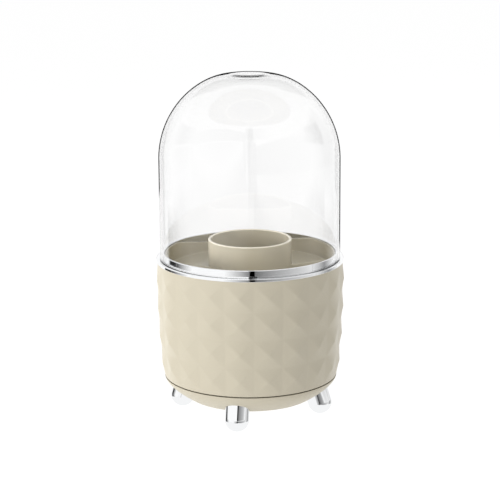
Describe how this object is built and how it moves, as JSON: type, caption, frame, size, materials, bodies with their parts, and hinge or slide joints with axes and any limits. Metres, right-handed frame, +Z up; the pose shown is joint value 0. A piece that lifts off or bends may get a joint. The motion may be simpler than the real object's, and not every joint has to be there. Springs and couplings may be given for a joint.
{
  "type": "makeup brush organizer",
  "caption": "Round faceted drum that turns on a footed base, with a lift-out tray round a deep brush tube and a clear domed lid.",
  "frame": {"origin": "on the surface it stands on, under the drum's turning axis", "axes": "+Z up along the turning axis, -Y towards the front foot, +X towards the right foot"},
  "size_m": [0.1518, 0.1518, 0.2768],
  "materials": {
    "shell": "gloss moulded plastic, warm beige",
    "pan": "gloss moulded plastic, warm beige",
    "liner": "smooth moulded plastic, warm beige",
    "chrome": "bright plated",
    "steel": "plain steel",
    "natural": "natural bearing plastic",
    "dome": "clear cast acrylic"
  },
  "bodies": {
    "base": {"base_pan": "pan", "foot_front": "chrome", "foot_right": "chrome", "foot_rear": "chrome", "foot_left": "chrome", "foot_screws": "steel", "lower_race": "steel", "pivot_stud": "steel", "pivot_washer": "steel", "pivot_nut": "steel"},
    "bearing": {"ball_cage": "natural", "bearing_balls": "steel"},
    "drum": {"upper_race": "steel", "turntable_plate": "shell", "hub_bush": "natural", "plate_screws": "steel", "body_shell": "shell", "trim_ring": "chrome"},
    "tray": {"tray_liner": "liner", "brush_tube": "liner"},
    "dome": {"dome_cover": "dome"}
  },
  "joints": [
    {"name": "drum_spin", "type": "hinge", "parent": "base", "child": "drum", "pos_m": [0, 0, 0.03], "axis": [0, 0, 1], "continuous": true},
    {"name": "cage_spin", "type": "hinge", "parent": "base", "child": "bearing", "pos_m": [0, 0, 0.03], "axis": [0, 0, 1], "continuous": true},
    {"name": "tray_lift", "type": "slide", "parent": "drum", "child": "tray", "axis": [0, 0, 1], "range_m": [0, 0.07]},
    {"name": "dome_lift", "type": "slide", "parent": "drum", "child": "dome", "axis": [0, 0, 1], "range_m": [0, 0.2]}
  ],
  "couplings": [
    {"joint": "cage_spin", "follows": "drum_spin", "ratio": 0.5}
  ]
}
